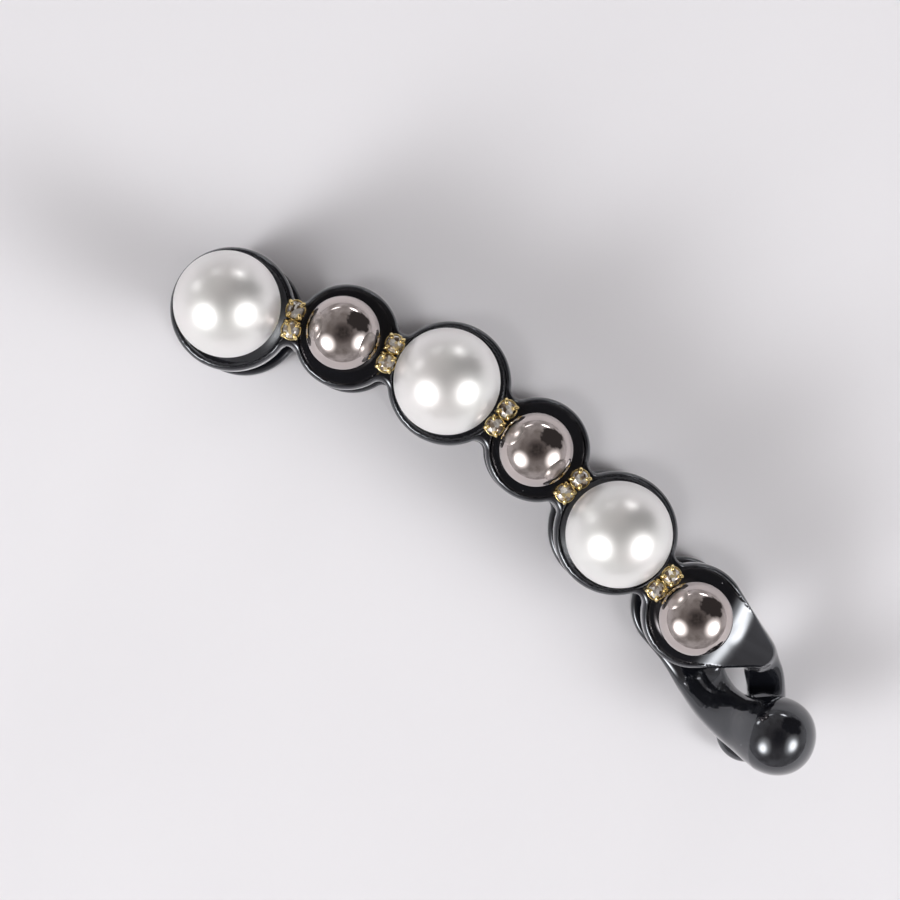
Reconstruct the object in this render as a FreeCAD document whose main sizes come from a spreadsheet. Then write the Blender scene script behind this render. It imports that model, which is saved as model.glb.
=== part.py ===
import FreeCAD, Part
import math
import os

import Sketcher
from FreeCAD import Placement, Rotation, Vector

# A long interlocking hair clip. Two scalloped arms lie one above the other and share a hinge pin at
# one end. The front (upper) arm carries a row of pearls and metal beads in round cups, with a pair of
# claw-set stones across each neck. At the other end a hook on each arm crosses over the other's.
# Millimetres. +Z up, z = 0 is the rear arm's flat outer face, +X runs along the clip from the hinge
# to the hooks, and the origin is under the centre of the third cup.

SIZES = {
    "plate_thickness": 4.0,
    "front_inner_z": 18.5,
    "edge_round": 0.8,
    "pearl_cup_radius": 9.5,
    "bead_cup_radius": 8.05,
    "valley_radius": 1.5,
    "rim_width": 0.75,
    "dish_depth": 0.5,
    "seat_depth": 0.4,
    "pearl_radius": 8.0,
    "bead_radius": 5.65,
    "bead_half_height": 4.45,
    "cup_1_x": -33.2,
    "cup_1_y": -11.5,
    "cup_2_x": -16.8,
    "cup_2_y": -4.1,
    "cup_3_x": 0.0,
    "cup_3_y": 0.0,
    "cup_4_x": 16.9,
    "cup_4_y": 0.3,
    "cup_5_x": 34.2,
    "cup_5_y": -2.4,
    "cup_6_x": 51.4,
    "cup_6_y": -4.9,
    "front_tail_x": 55.8,
    "front_tail_y": -4.2,
    "front_tail_radius": 6.0,
    "rear_tail_x": 60.6,
    "rear_tail_y": -11.7,
    "rear_tail_radius": 3.2,
    "pin_x": -38.0,
    "pin_y": -11.5,
    "pin_z": 11.25,
    "pin_radius": 0.9,
    "pin_half_length": 6.4,
    "bore_clearance": 0.05,
    "knuckle_radius": 3.0,
    "front_knuckle_start": 2.0,
    "front_knuckle_width": 1.6,
    "rear_ear_start": 3.8,
    "rear_ear_width": 2.2,
    "coil_radius": 1.55,
    "wire_radius": 0.25,
    "coil_pitch": 0.58,
    "coil_full_turns": 4,
    "leg_angle": 36.0,
    "tooth_root_radius": 0.95,
    "tooth_tip_radius": 0.5,
    "tooth_length": 13.4,
    "tooth_pitch": 5.5,
    "tooth_count": 15,
    "tooth_first": 11.0,
    "front_tooth_offset": -3.0,
    "rear_tooth_offset": -0.8,
    "stone_radius": 1.35,
    "stone_pitch": 3.1,
    "setting_radius": 1.5,
    "setting_height": 1.15,
    "claw_radius": 0.27,
    "claw_height": 2.05,
    "knob_radius": 5.5,
}
PEARL_CUPS = (1, 3, 5)
CUP_COUNT = 6
OVERLAP = 0.5  # how far a fused piece reaches into its neighbour

# How far each ball was glued from its cup's centre, in x and y.
BALL_SHIFTS = ((0.0, 0.2), (-0.4, 0.1), (-0.3, -0.2), (-0.3, -0.25), (-0.25, 0.0), (-0.2, -0.3))

# Each stone pair: how far it sits from its pearl's axis, and how far it is shifted to the outer side.
STONE_PLACES = ((9.7, 0.5), (10.0, 0.4), (9.45, 0.5), (9.95, 0.05), (10.35, 0.0))

# The two hooks: points along each strand, then its half width and half thickness there.
FRONT_HOOK = (
    (Vector(57.4, -3.6, 19.8), 4.8, 1.9),
    (Vector(60.3, -3.1, 17.6), 3.5, 1.8),
    (Vector(63.2, -3.1, 15.1), 2.5, 1.7),
    (Vector(66.5, -4.8, 12.3), 2.8, 1.7),
    (Vector(69.2, -6.8, 9.7), 2.7, 1.6),
    (Vector(70.9, -8.6, 7.2), 2.8, 1.6),
    (Vector(71.8, -11.3, 4.9), 3.2, 1.7),
    (Vector(72.2, -14.0, 3.9), 3.6, 1.8),
)
FRONT_LOBE = (Vector(72.3, -14.4, 3.5), 4.9, 2.6)
REAR_HOOK = (
    (Vector(56.5, -9.2, 2.4), 3.9, 1.6),
    (Vector(61.0, -12.0, 3.8), 4.0, 2.0),
    (Vector(65.2, -13.6, 7.9), 3.9, 2.4),
    (Vector(69.2, -13.5, 13.0), 4.2, 3.3),
    (Vector(73.0, -12.1, 16.5), 4.9, 4.8),
)
KNOB_CENTRE = Vector(73.9, -11.6, 16.8)

doc = FreeCAD.newDocument("hair_clip")
sheet = doc.addObject("Spreadsheet::Sheet", "sizes")


def fill_sheet():
    for line, (alias, value) in enumerate(SIZES.items(), start=1):
        sheet.set(f"A{line}", alias)
        sheet.set(f"B{line}", str(value))
        sheet.setAlias(f"B{line}", alias)
    doc.recompute()


def size(alias):
    return float(sheet.get(alias))


def cup_centre(number):
    return Vector(size(f"cup_{number}_x"), size(f"cup_{number}_y"), 0)


def cup_radius_name(number):
    return "pearl_cup_radius" if number in PEARL_CUPS else "bead_cup_radius"


def cup_radius(number):
    return size(cup_radius_name(number))


def bind(item, **expressions):
    for name, expression in expressions.items():
        item.setExpression(name.replace("__", "."), expression)


# ---------------------------------------------------------------- outline of an arm


def valley_centre(number, side):
    """Centre of the round that joins cup `number` to the next, on the +Y side (1) or the -Y side (-1)."""
    first, second = cup_centre(number), cup_centre(number + 1)
    round_size = size("valley_radius")
    reach_first = cup_radius(number) + round_size
    reach_second = cup_radius(number + 1) + round_size
    gap = (second - first).Length
    along = (gap**2 + reach_first**2 - reach_second**2) / (2 * gap)
    away = math.sqrt(reach_first**2 - along**2)
    forward = (second - first).normalize()
    sideways = Vector(-forward.y, forward.x, 0)
    return first + forward * along + sideways * side * away


def bearing(centre, point):
    return math.atan2(point.y - centre.y, point.x - centre.x)


def arc(centre, radius, start, end):
    circle = Part.Circle(centre, Vector(0, 0, 1), radius)
    return Part.ArcOfCircle(circle, start, end)


def tail_tangents(tail_centre, tail_radius):
    """Bearings at which a straight edge leaves the last cup for the tail's small round, on each side."""
    last = cup_centre(CUP_COUNT)
    heading = bearing(last, tail_centre)
    spread = math.acos((cup_radius(CUP_COUNT) - tail_radius) / (tail_centre - last).Length)
    return heading - spread, heading + spread


def point_at(centre, radius, angle):
    return centre + Vector(math.cos(angle), math.sin(angle), 0) * radius


def outline_steps(tail):
    """The outline, anticlockwise from the hinge end: (geometry, start point, end point, kind, cup or alias)."""
    tail_centre = Vector(size(f"{tail}_tail_x"), size(f"{tail}_tail_y"), 0)
    tail_radius = size(f"{tail}_tail_radius")
    low_angle, high_angle = tail_tangents(tail_centre, tail_radius)
    valley = size("valley_radius")
    steps = []

    def cup_arc(number, start, end):
        steps.append((arc(cup_centre(number), cup_radius(number), start, end), 1, 2, "cup", number))

    def valley_arc(number, side, from_cup, to_cup):
        centre = valley_centre(number, side)
        start = bearing(centre, cup_centre(to_cup))
        end = bearing(centre, cup_centre(from_cup))
        steps.append((arc(centre, valley, start, end), 2, 1, "valley", number))

    first_low = bearing(cup_centre(1), valley_centre(1, -1))
    first_high = bearing(cup_centre(1), valley_centre(1, 1))
    cup_arc(1, first_high, first_low)
    for number in range(2, CUP_COUNT + 1):
        valley_arc(number - 1, -1, number - 1, number)
        centre = cup_centre(number)
        start = bearing(centre, valley_centre(number - 1, -1))
        if number < CUP_COUNT:
            end = bearing(centre, valley_centre(number, -1))
        else:
            end = low_angle
        cup_arc(number, start, end)

    last = cup_centre(CUP_COUNT)
    big = cup_radius(CUP_COUNT)
    low_line = Part.LineSegment(
        point_at(last, big, low_angle), point_at(tail_centre, tail_radius, low_angle)
    )
    high_line = Part.LineSegment(
        point_at(tail_centre, tail_radius, high_angle), point_at(last, big, high_angle)
    )
    steps.append((low_line, 1, 2, "line", 0))
    steps.append((arc(tail_centre, tail_radius, low_angle, high_angle), 1, 2, "tail", tail))
    steps.append((high_line, 1, 2, "line", 0))

    for number in range(CUP_COUNT, 1, -1):
        centre = cup_centre(number)
        if number == CUP_COUNT:
            start = high_angle
        else:
            start = bearing(centre, valley_centre(number, 1))
        cup_arc(number, start, bearing(centre, valley_centre(number - 1, 1)))
        valley_arc(number - 1, 1, number, number - 1)
    return steps


def pin_centre(sketch, geometry, x_alias, y_alias):
    """Hold the centre of a round at the place that the sheet gives."""
    for kind, alias in (("DistanceX", x_alias), ("DistanceY", y_alias)):
        number = sketch.addConstraint(Sketcher.Constraint(kind, -1, 1, geometry, 3, size(alias)))
        sketch.setExpression(f"Constraints[{number}]", f"sizes.{alias}")


def set_radius(sketch, geometry, alias):
    number = sketch.addConstraint(Sketcher.Constraint("Radius", geometry, size(alias)))
    sketch.setExpression(f"Constraints[{number}]", f"sizes.{alias}")


def draw_outline(sketch, tail):
    steps = outline_steps(tail)
    sketch.addGeometry([step[0] for step in steps], False)
    for index, (_, _, end, _, _) in enumerate(steps):
        following = (index + 1) % len(steps)
        start = steps[following][1]
        sketch.addConstraint(Sketcher.Constraint("Tangent", index, end, following, start))
    seen = {}
    for index, (_, _, _, kind, owner) in enumerate(steps):
        if kind == "valley":
            set_radius(sketch, index, "valley_radius")
        elif kind == "tail":
            pin_centre(sketch, index, f"{owner}_tail_x", f"{owner}_tail_y")
            set_radius(sketch, index, f"{owner}_tail_radius")
        elif kind == "cup" and owner in seen:
            sketch.addConstraint(Sketcher.Constraint("Coincident", seen[owner], 3, index, 3))
            sketch.addConstraint(Sketcher.Constraint("Equal", seen[owner], index))
        elif kind == "cup":
            seen[owner] = index
            pin_centre(sketch, index, f"cup_{owner}_x", f"cup_{owner}_y")
            set_radius(sketch, index, cup_radius_name(owner))


def flat_sketch(body, name, height):
    """A sketch on the body's XY plane, raised to the height that an expression gives."""
    plane = next(item for item in body.Origin.OriginFeatures if item.Role == "XY_Plane")
    sketch = body.newObject("Sketcher::SketchObject", name)
    sketch.AttachmentSupport = [(plane, "")]
    sketch.MapMode = "FlatFace"
    sketch.setExpression("AttachmentOffset.Base.z", height)
    return sketch


def edges_at(shape, heights):
    """Names of the edges that lie in one of the level planes."""
    names = []
    for number, edge in enumerate(shape.Edges, start=1):
        box = edge.BoundBox
        for height in heights:
            if abs(box.ZMin - height) < 1e-6 and abs(box.ZMax - height) < 1e-6:
                names.append(f"Edge{number}")
    return names


def arm_plate(side):
    """The scalloped plate of one arm, with its outer and inner edges rounded."""
    bottom = "sizes.front_inner_z" if side == "front" else "0"
    body = doc.addObject("PartDesign::Body", f"{side}_plate")
    outline = flat_sketch(body, f"{side}_outline", bottom)
    draw_outline(outline, side)
    pad = body.newObject("PartDesign::Pad", f"{side}_pad")
    pad.Profile = outline
    bind(pad, Length="sizes.plate_thickness")
    doc.recompute()
    base = size("front_inner_z") if side == "front" else 0.0
    rounds = body.newObject("PartDesign::Fillet", f"{side}_rounds")
    rounds.Base = (pad, edges_at(pad.Shape, (base, base + size("plate_thickness"))))
    bind(rounds, Radius="sizes.edge_round")
    doc.recompute()
    return body


def dish(number):
    """The shallow round hollow in the front arm's outer face that makes a cup's floor and rim."""
    hollow = doc.addObject("Part::Cylinder", f"dish_{number}")
    bind(hollow, Radius=f"sizes.{cup_radius_name(number)} - sizes.rim_width")
    bind(hollow, Height=f"sizes.dish_depth + {OVERLAP}")
    bind(hollow, Placement__Base__x=f"sizes.cup_{number}_x")
    bind(hollow, Placement__Base__y=f"sizes.cup_{number}_y")
    top = "sizes.front_inner_z + sizes.plate_thickness"
    bind(hollow, Placement__Base__z=f"{top} - sizes.dish_depth")
    return hollow


# ---------------------------------------------------------------- comb teeth


def chain_point(distance, offset):
    """A point `distance` along the line through the cup centres, `offset` to its +Y side."""
    for number in range(1, CUP_COUNT):
        start, end = cup_centre(number), cup_centre(number + 1)
        span = (end - start).Length
        if distance <= span or number == CUP_COUNT - 1:
            forward = (end - start).normalize()
            return start + forward * distance + Vector(-forward.y, forward.x, 0) * offset
        distance -= span


def comb(side):
    """One row of tapered teeth. The two rows are staggered and side by side, so they pass each other."""
    up = side == "rear"
    stagger = 0.5 * size("tooth_pitch") if up else 0.0
    teeth = []
    for number in range(int(size("tooth_count"))):
        distance = size("tooth_first") + stagger + number * size("tooth_pitch")
        root = chain_point(distance, size(f"{side}_tooth_offset"))
        tooth = doc.addObject("Part::Cone", f"{side}_tooth_{number + 1}")
        bind(tooth, Height="sizes.tooth_length")
        bind(tooth, Radius1="sizes.tooth_root_radius", Radius2="sizes.tooth_tip_radius")
        turn = Rotation() if up else Rotation(Vector(1, 0, 0), 180)
        tooth.Placement = Placement(root, turn)
        inner_face = "sizes.plate_thickness" if up else "sizes.front_inner_z"
        bind(tooth, Placement__Base__z=inner_face)
        teeth.append(tooth)
    row = doc.addObject("Part::Compound", f"{side}_teeth")
    row.Links = teeth
    row.Label = f"{side}_comb"
    return row


# ---------------------------------------------------------------- hinge


def cylinder_across(name, radius, start, length):
    """A cylinder on the hinge axis, from y = pin_y + start, `length` long. All are expressions."""
    cylinder = doc.addObject("Part::Cylinder", name)
    cylinder.Placement = Placement(Vector(), Rotation(Vector(1, 0, 0), -90))
    bind(cylinder, Radius=radius, Height=length)
    bind(cylinder, Placement__Base__x="sizes.pin_x", Placement__Base__z="sizes.pin_z")
    bind(cylinder, Placement__Base__y=f"sizes.pin_y + {start}")
    return cylinder


def knuckles(side):
    """Two rounded lugs on the hinge axis, each with a web to its own arm."""
    word = "rear_ear" if side == "rear" else "front_knuckle"
    pieces = []
    for hand in (-1, 1):
        name = f"{word}_{'near' if hand < 0 else 'far'}"
        near_end = f"(-sizes.{word}_start - sizes.{word}_width)"
        start = near_end if hand < 0 else f"sizes.{word}_start"
        pieces.append(cylinder_across(name, "sizes.knuckle_radius", start, f"sizes.{word}_width"))
        web = doc.addObject("Part::Box", f"{name}_web")
        bind(web, Length="2 * sizes.knuckle_radius", Width=f"sizes.{word}_width")
        bind(web, Placement__Base__x="sizes.pin_x - sizes.knuckle_radius")
        bind(web, Placement__Base__y=f"sizes.pin_y + {start}")
        if side == "rear":
            bind(web, Height=f"sizes.pin_z - sizes.plate_thickness + {OVERLAP}")
            bind(web, Placement__Base__z=f"sizes.plate_thickness - {OVERLAP}")
        else:
            bind(web, Height=f"sizes.front_inner_z - sizes.pin_z + {OVERLAP}")
            bind(web, Placement__Base__z="sizes.pin_z")
        pieces.append(web)
    return pieces


def hinge_pin():
    pin = cylinder_across(
        "pin", "sizes.pin_radius", "(-sizes.pin_half_length)", "2 * sizes.pin_half_length"
    )
    pin.Label = "hinge_pin"
    return pin


def hinge_spring():
    """A torsion spring round the pin, between the front knuckles. Its legs leave the coil along its
    own tangent and rest on the two arms' inner faces."""
    radius = size("coil_radius")
    wire = size("wire_radius")
    pitch = size("coil_pitch")
    leg_angle = size("leg_angle")
    part_turn = 180 - 2 * leg_angle
    turns = size("coil_full_turns") + part_turn / 360
    height = turns * pitch
    helix = Part.makeHelix(pitch, height, radius)
    start = Vector(radius, 0, 0)
    start_way = Vector(0, 2 * math.pi * radius, pitch).normalize()
    profile = Part.Wire([Part.makeCircle(wire, start, start_way)])
    coil = Part.Wire(helix.Edges).makePipeShell([profile], True, True)
    end_turn = Rotation(Vector(0, 0, 1), part_turn)
    end = end_turn.multVec(start) + Vector(0, 0, height)
    end_way = end_turn.multVec(start_way)
    rise = size("pin_z") - size("plate_thickness") - wire
    lift = radius * math.cos(math.radians(leg_angle))
    leg = (rise - lift) / math.sin(math.radians(leg_angle))
    first_leg = Part.makeCylinder(wire, leg, start, -start_way)
    last_leg = Part.makeCylinder(wire, leg, end, end_way)
    whole = coil.fuse([first_leg, last_leg])
    # Centred, turned so that both legs point along +X, then laid on the hinge axis.
    whole.translate(Vector(0, 0, -height / 2))
    whole.rotate(Vector(), Vector(0, 0, 1), 90 + leg_angle)
    whole.rotate(Vector(), Vector(1, 0, 0), 90)
    spring = doc.addObject("Part::Feature", "torsion_spring")
    spring.Shape = whole
    centre = Vector(size("pin_x"), size("pin_y"), size("pin_z"))
    spring.Placement = Placement(centre, Rotation()).multiply(whole.Placement)
    spring.Label = "hinge_spring"
    return spring


# ---------------------------------------------------------------- hooks


def ellipse_ring(point, across, upward):
    """An ellipse as four quarter arcs, so that a loft joins matching quarters."""
    ellipse = Part.Ellipse(point + across, point + upward, point)
    quarter = math.pi / 2
    return Part.Wire([ellipse.toShape(step * quarter, (step + 1) * quarter) for step in range(4)])


def strand(name, stations):
    """A smooth solid through ellipses. Each is level across its width and square to the strand's path."""
    rings = []
    for index, (point, half_width, half_thickness) in enumerate(stations):
        before = stations[max(index - 1, 0)][0]
        after = stations[min(index + 1, len(stations) - 1)][0]
        forward = (after - before).normalize()
        across = forward.cross(Vector(0, 0, 1)).normalize()
        upward = across.cross(forward)
        rings.append(ellipse_ring(point, across * half_width, upward * half_thickness))
    feature = doc.addObject("Part::Feature", name)
    feature.Shape = Part.makeLoft(rings, True, False)
    return feature


def ellipsoid(name, centre, half_width, half_height):
    lobe = doc.addObject("Part::Ellipsoid", name)
    lobe.Radius1 = half_height
    lobe.Radius2 = half_width
    lobe.Radius3 = half_width
    lobe.Angle1 = -90
    lobe.Angle2 = 90
    lobe.Placement = Placement(centre, Rotation())
    return lobe


def knob():
    ball = doc.addObject("Part::Sphere", "rear_knob")
    bind(ball, Radius="sizes.knob_radius")
    ball.Placement = Placement(KNOB_CENTRE, Rotation())
    return ball


# ---------------------------------------------------------------- arms


def fused(name, pieces):
    whole = doc.addObject("Part::MultiFuse", name)
    whole.Shapes = pieces
    whole.Refine = False
    return whole


def bored(name, label, base, clearance, hollows=()):
    """The arm with its hinge bore cut through every lug, and any other hollows."""
    drill = cylinder_across(
        f"{name}_drill",
        f"sizes.pin_radius + {clearance}",
        "(-sizes.pin_half_length - 1)",
        "2 * sizes.pin_half_length + 2",
    )
    arm = doc.addObject("Part::Cut", name)
    arm.Base = base
    arm.Tool = fused(f"{name}_cutters", [drill, *hollows]) if hollows else drill
    arm.Label = label
    return arm


def rear_arm():
    pieces = [arm_plate("rear")] + knuckles("rear")
    pieces += [strand("rear_strand", REAR_HOOK), knob()]
    return bored("rear_bored", "rear_arm", fused("rear_solid", pieces), "0")


def front_arm(balls):
    pieces = [arm_plate("front")] + knuckles("front")
    dishes = [dish(number) for number in range(1, CUP_COUNT + 1)]
    solid = fused("front_solid", pieces)
    return bored("front_bored", "front_arm", solid, "sizes.bore_clearance", dishes + balls)


def front_hook(arm):
    """The springy hook at the front arm's end: what is left of its strand outside the arm itself."""
    lobe = ellipsoid("front_lobe", *FRONT_LOBE)
    whole = fused("front_strand_and_lobe", [strand("front_strand", FRONT_HOOK), lobe])
    hook = doc.addObject("Part::Cut", "front_hook_cut")
    hook.Base = whole
    hook.Tool = arm
    hook.Label = "front_hook"
    return hook


# ---------------------------------------------------------------- balls and stones


def ball(number):
    """The ball of one cup, sunk by seat_depth below the dish's floor: a round pearl, or a metal bead
    that is lower than it is wide."""
    if number in PEARL_CUPS:
        word, half_height = "pearl", "sizes.pearl_radius"
        found = doc.addObject("Part::Sphere", f"pearl_in_cup_{number}")
        bind(found, Radius=half_height)
    else:
        word, half_height = "bead", "sizes.bead_half_height"
        found = doc.addObject("Part::Ellipsoid", f"bead_in_cup_{number}")
        bind(found, Radius1=half_height, Radius2="sizes.bead_radius", Radius3="sizes.bead_radius")
    floor = "sizes.front_inner_z + sizes.plate_thickness - sizes.dish_depth - sizes.seat_depth"
    shift_x, shift_y = BALL_SHIFTS[number - 1]
    bind(found, Placement__Base__x=f"sizes.cup_{number}_x + {shift_x}")
    bind(found, Placement__Base__y=f"sizes.cup_{number}_y + {shift_y}")
    bind(found, Placement__Base__z=f"{floor} + {half_height}")
    found.Label = f"{word}_{(number + 1) // 2}"
    return found


def stone_pair_frame(pair):
    """Centre of stone pair `pair`, in the neck after cup `pair`, and the turn of the neck there."""
    first, second = cup_centre(pair), cup_centre(pair + 1)
    forward = (second - first).normalize()
    sideways = Vector(-forward.y, forward.x, 0)
    from_pearl, shift = STONE_PLACES[pair - 1]
    if pair in PEARL_CUPS:
        middle = first + forward * from_pearl
    else:
        middle = second - forward * from_pearl
    middle = middle + sideways * shift
    middle.z = size("front_inner_z") + size("plate_thickness")
    return middle, math.degrees(math.atan2(forward.y, forward.x))


def setting_shape():
    """One claw setting at the origin: a round cup with a conical seat, and four claws bent inward
    and notched to bear on the stone."""
    radius = size("setting_radius")
    height = size("setting_height")
    claw = size("claw_radius")
    cup = Part.makeCylinder(radius, height)
    seat = Part.makeCone(0.3, size("stone_radius"), height, Vector(0, 0, 0.25))
    cup = cup.cut(seat)
    lean = 0.3
    claws = []
    for quarter in range(4):
        angle = math.radians(45 + 90 * quarter)
        foot = Vector(math.cos(angle), math.sin(angle), 0) * (radius - 0.05)
        tip = foot * ((radius - lean) / foot.Length) + Vector(0, 0, size("claw_height"))
        foot.z = 0.1
        claws.append(Part.makeCylinder(claw, (tip - foot).Length, foot, tip - foot))
        claws.append(Part.makeSphere(claw, tip))
    return cup.fuse(claws).cut(stone_shape())


def octagon(radius, height, turn):
    corners = []
    for corner in range(9):
        angle = math.radians(45 * corner + turn)
        corners.append(Vector(radius * math.cos(angle), radius * math.sin(angle), height))
    return Part.makePolygon(corners)


def stone_shape():
    """One cut stone at the origin, its point down: pavilion, girdle, crown and table as flat facets."""
    radius = size("stone_radius") - 0.12
    rings = [
        octagon(0.12, 0.42, 22.5),
        octagon(radius, 1.3, 22.5),
        octagon(radius, 1.42, 22.5),
        octagon(0.6 * radius, 1.95, 22.5),
    ]
    return Part.makeLoft(rings, True, True)


def stone_setting(pair):
    """A pair of claw settings joined by a short link, as cut from a length of cup chain."""
    middle, turn = stone_pair_frame(pair)
    half = size("stone_pitch") / 2
    cups = []
    for hand in (-1, 1):
        cup = setting_shape()
        cup.translate(Vector(0, hand * half, 0))
        cups.append(cup)
    link = Part.makeBox(0.8, 2 * half, 0.3, Vector(-0.4, -half, 0))
    for hand in (-1, 1):
        seat = Part.makeCone(0.3, size("stone_radius"), size("setting_height"), Vector(0, hand * half, 0.25))
        link = link.cut(seat)
    setting = doc.addObject("Part::Feature", f"setting_of_neck_{pair}")
    setting.Shape = cups[0].fuse([cups[1], link]).removeSplitter()
    setting.Placement = Placement(middle, Rotation(Vector(0, 0, 1), turn))
    setting.Label = f"stone_setting_{pair}"
    return setting


def rhinestone(pair, hand):
    middle, turn = stone_pair_frame(pair)
    stone = doc.addObject("Part::Feature", f"stone_{pair}_{'low' if hand < 0 else 'high'}")
    stone.Shape = stone_shape()
    across = Rotation(Vector(0, 0, 1), turn)
    reach = across.multVec(Vector(0, hand * size("stone_pitch") / 2, 0))
    stone.Placement = Placement(middle + reach, across)
    stone.Label = f"rhinestone_{2 * pair - (1 if hand < 0 else 0)}"
    return stone


# ---------------------------------------------------------------- build, test and write


def build():
    fill_sheet()
    balls = [ball(number) for number in range(1, CUP_COUNT + 1)]
    rear = rear_arm()
    front = front_arm(balls)
    doc.recompute()
    pieces = [rear, front, front_hook(front), comb("rear"), comb("front"), hinge_pin(), hinge_spring()]
    pieces += balls
    for pair in range(1, CUP_COUNT):
        pieces.append(stone_setting(pair))
        pieces.append(rhinestone(pair, -1))
        pieces.append(rhinestone(pair, 1))
    doc.recompute()
    return pieces


def test(pieces):
    for item in doc.Objects:
        if "Invalid" in item.State or "Error" in item.State:
            raise RuntimeError(f"{item.Label} failed: {item.State}")
    for piece in pieces:
        if piece.Shape.isNull() or not piece.Shape.isValid():
            raise RuntimeError(f"{piece.Label} has no valid shape")


def write(pieces):
    os.makedirs("parts", exist_ok=True)
    for piece in pieces:
        shape = piece.Shape
        print(f"{piece.Label:18s} solids {len(shape.Solids)}  volume {shape.Volume:9.2f} mm3")
        shape.exportStep(f"parts/{piece.Label}.step")


clip = build()
test(clip)
write(clip)
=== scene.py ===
import math

import bmesh
import bpy
import numpy as np
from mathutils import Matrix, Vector

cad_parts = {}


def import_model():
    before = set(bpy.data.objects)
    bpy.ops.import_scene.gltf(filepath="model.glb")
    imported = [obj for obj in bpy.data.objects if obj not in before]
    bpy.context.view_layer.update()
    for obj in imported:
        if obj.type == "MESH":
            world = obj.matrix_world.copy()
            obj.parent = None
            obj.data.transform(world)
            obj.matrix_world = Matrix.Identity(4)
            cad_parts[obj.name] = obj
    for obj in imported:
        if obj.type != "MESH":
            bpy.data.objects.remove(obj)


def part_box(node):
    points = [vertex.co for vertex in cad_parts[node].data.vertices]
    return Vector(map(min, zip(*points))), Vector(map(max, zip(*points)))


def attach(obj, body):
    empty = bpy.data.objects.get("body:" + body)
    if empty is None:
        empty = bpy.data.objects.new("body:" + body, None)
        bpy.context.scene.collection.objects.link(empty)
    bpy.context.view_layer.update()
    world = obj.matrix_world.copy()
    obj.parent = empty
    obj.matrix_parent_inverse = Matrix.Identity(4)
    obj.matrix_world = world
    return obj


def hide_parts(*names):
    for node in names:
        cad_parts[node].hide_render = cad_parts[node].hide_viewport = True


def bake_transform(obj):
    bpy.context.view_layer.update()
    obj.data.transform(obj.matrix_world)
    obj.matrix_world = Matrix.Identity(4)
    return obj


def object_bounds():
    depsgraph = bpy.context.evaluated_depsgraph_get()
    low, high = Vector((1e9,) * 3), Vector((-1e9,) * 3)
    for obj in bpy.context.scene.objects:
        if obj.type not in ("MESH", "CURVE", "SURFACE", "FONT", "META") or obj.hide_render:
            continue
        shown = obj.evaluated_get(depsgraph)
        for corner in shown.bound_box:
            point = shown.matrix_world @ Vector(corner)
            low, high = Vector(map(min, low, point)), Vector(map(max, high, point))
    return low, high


# The looks of a long interlocking hair clip. Shapes are worked out in millimetres in the row's frame
# and turned into metres when a piece is made. Each arm is one moulding, so it is written as a signed
# distance (negative inside) and its surface is meshed from that, with soft blends between its features.

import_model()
CAD_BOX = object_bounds()
MM_PER_METRE = 1000.0

# ---------------------------------------------------------------- sizes, in millimetres

PEARL_CUP_RADIUS = 9.5
BEAD_CUP_RADIUS = 8.05
VALLEY_RADIUS = 1.5
RIM_WIDTH = 0.75
DISH_DEPTH = 0.5
SEAT_DEPTH = 0.4
OUTER_EDGE_ROUND = 1.0
INNER_EDGE_ROUND = 0.8
BALL_NODES = ("pearl_1", "bead_1", "pearl_2", "bead_2", "pearl_3", "bead_3")
BALL_SHIFTS = ((0.0, 0.2), (-0.4, 0.1), (-0.3, -0.2), (-0.3, -0.25), (-0.25, 0.0), (-0.2, -0.3))
FRONT_TAIL = np.array((63.6, -3.2))
FRONT_TAIL_RADIUS = 2.3
REAR_TAIL = np.array((60.6, -11.7))
REAR_TAIL_RADIUS = 3.2
KNUCKLE_RADIUS = 3.0
FRONT_KNUCKLE = (2.8, 1.6)  # distance of its middle from the clip's hinge centre, and its width
REAR_EAR = (4.9, 2.2)
TOOTH_ROOT_RADIUS = 0.95
TOOTH_TIP_RADIUS = 0.5
TOOTH_ROOT_DEPTH = 0.5
TOOTH_PITCH = 5.5
TOOTH_COUNT = 15
TOOTH_FIRST = 11.0
FRONT_TOOTH_OFFSET = -3.0
REAR_TOOTH_OFFSET = -0.8

# The dish of the last cup is longer than the others and runs out over the tail.
LONG_DISH_END = FRONT_TAIL + np.array((0.2, 0.3))
LONG_DISH_END_RADIUS = 2.8

# Past the last bead the front arm falls away towards its hook, like a cone between these two directions
# from the cup's middle. It starts to turn down BEND_START from there and gets steeper by twice BEND for
# each millimetre, until it runs straight after BEND_REACH.
BEND_WAYS = (np.array((0.975, 0.225)), np.array((0.999, -0.035)))
BEND_START = 3.4
BEND_REACH = 5.8
BEND = 0.058

# How softly each feature runs into its arm.
FRONT_HOOK_BLEND = 2.4
REAR_HOOK_BLEND = 1.8
LOBE_BLEND = 1.2
KNOB_BLEND = 3.0
TOOTH_BLEND = 0.8
LUG_BLEND = 0.9
DISH_FLOOR_BLEND = 0.25
DISH_RIM_BLEND = 0.18

LUG_EDGE_ROUND = 0.25
LUG_REACH = 6.0  # how far a lug runs from the hinge axis into its arm
FRONT_BORE_RADIUS = 0.95
REAR_BORE_RADIUS = 0.9

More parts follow.
